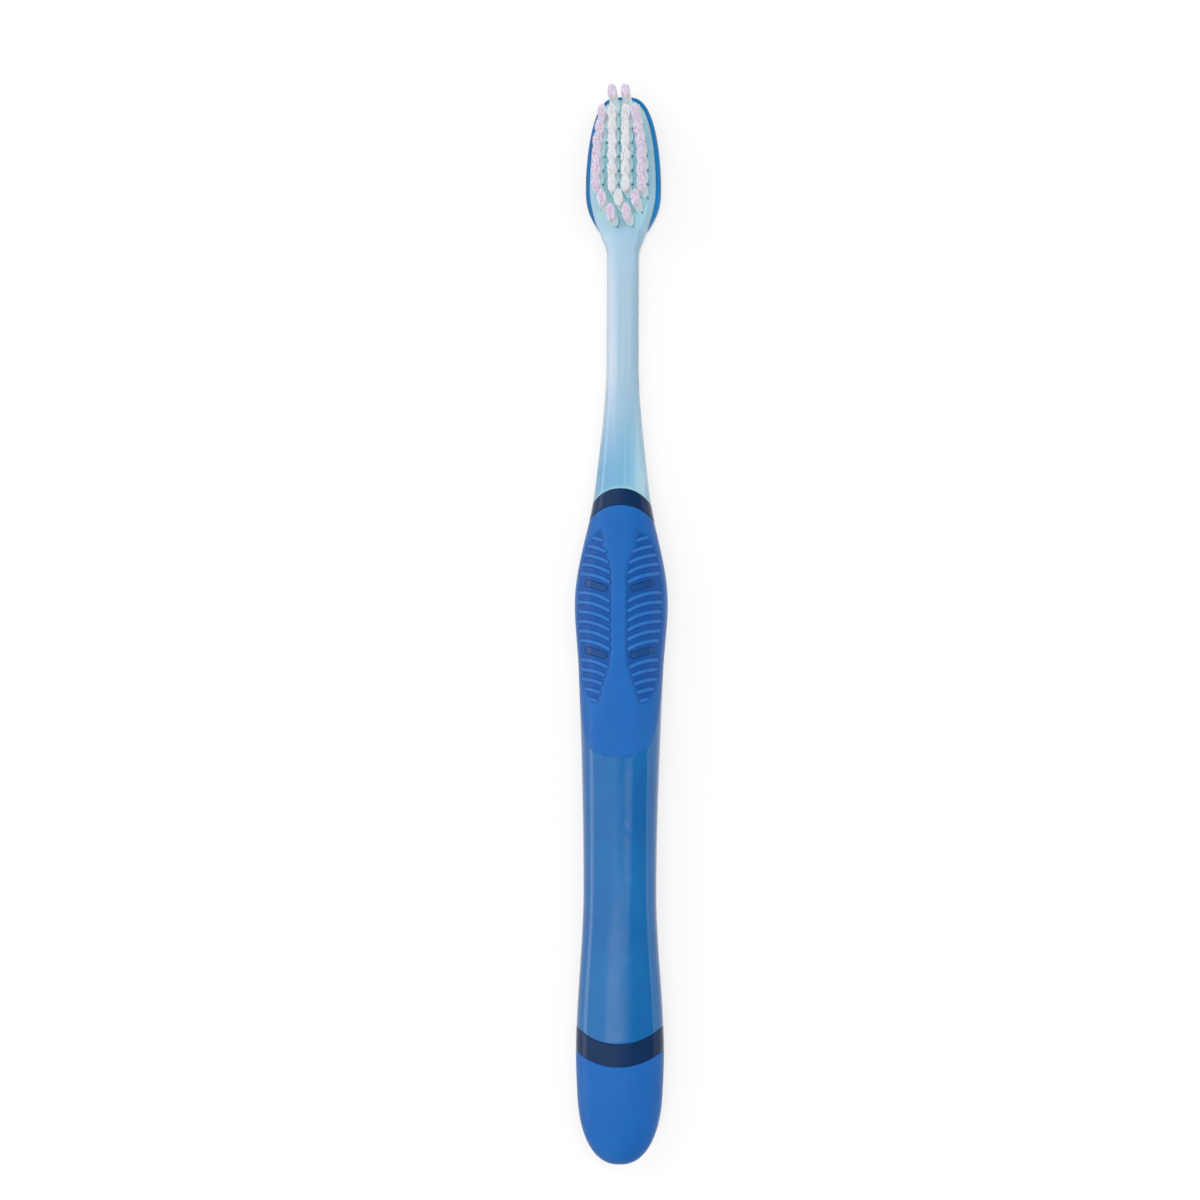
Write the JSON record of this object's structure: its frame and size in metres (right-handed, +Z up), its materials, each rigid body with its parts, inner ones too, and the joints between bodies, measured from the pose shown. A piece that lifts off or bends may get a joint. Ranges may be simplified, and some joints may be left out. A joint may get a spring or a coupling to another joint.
{
  "type": "manual toothbrush",
  "caption": "Manual toothbrush with a small oval head, slim clear neck, ribbed soft thumb grip and a two-tone handle with a soft heel.",
  "frame": {"origin": "bottom centre of the bounding box: on the surface that the brush lies on, halfway between heel and toe", "axes": "+X from heel to toe along the brush, +Y to its left seen from the bristle side with the head up, +Z up, the way the bristles point"},
  "size_m": [0.191, 0.0166, 0.0198],
  "materials": {
    "pale_clear_plastic": "glossy, translucent",
    "azure_soft_rubber": "satin",
    "navy_plastic": "glossy",
    "azure_clear_plastic": "glossy, translucent",
    "royal_soft_rubber": "matte",
    "anchor_metal": "bare",
    "white_nylon": "satin filament",
    "lilac_nylon": "satin filament"
  },
  "bodies": {
    "root": {"neck_and_head": "pale_clear_plastic", "tongue_cleaner": "azure_soft_rubber", "handle_core": "navy_plastic", "handle_shell": "azure_clear_plastic", "thumb_grip": "royal_soft_rubber", "back_grip": "royal_soft_rubber", "heel_grip": "royal_soft_rubber", "tuft_anchors": "anchor_metal", "tuft_1_toe_left": "lilac_nylon", "tuft_1_toe_right": "lilac_nylon", "tuft_2_inner_left": "white_nylon", "tuft_2_inner_right": "white_nylon", "tuft_3_inner_left": "white_nylon", "tuft_3_inner_right": "white_nylon", "tuft_4_inner_left": "white_nylon", "tuft_4_inner_right": "white_nylon", "tuft_5_inner_left": "white_nylon", "tuft_5_inner_right": "white_nylon", "tuft_6_inner_left": "white_nylon", "tuft_6_inner_right": "white_nylon", "tuft_7_inner_left": "white_nylon", "tuft_7_inner_right": "white_nylon", "tuft_8_centre": "white_nylon", "tuft_9_heel_left": "lilac_nylon", "tuft_9_heel_right": "lilac_nylon", "tuft_2_outer_left": "lilac_nylon", "tuft_2_outer_right": "lilac_nylon", "tuft_3_outer_left": "lilac_nylon", "tuft_3_outer_right": "lilac_nylon", "tuft_4_outer_left": "lilac_nylon", "tuft_4_outer_right": "lilac_nylon", "tuft_5_outer_left": "lilac_nylon", "tuft_5_outer_right": "lilac_nylon", "tuft_6_outer_left": "lilac_nylon", "tuft_6_outer_right": "lilac_nylon", "tuft_7_outer_left": "lilac_nylon", "tuft_7_outer_right": "lilac_nylon", "tuft_8_outer_left": "lilac_nylon", "tuft_8_outer_right": "lilac_nylon"}
  },
  "joints": []
}
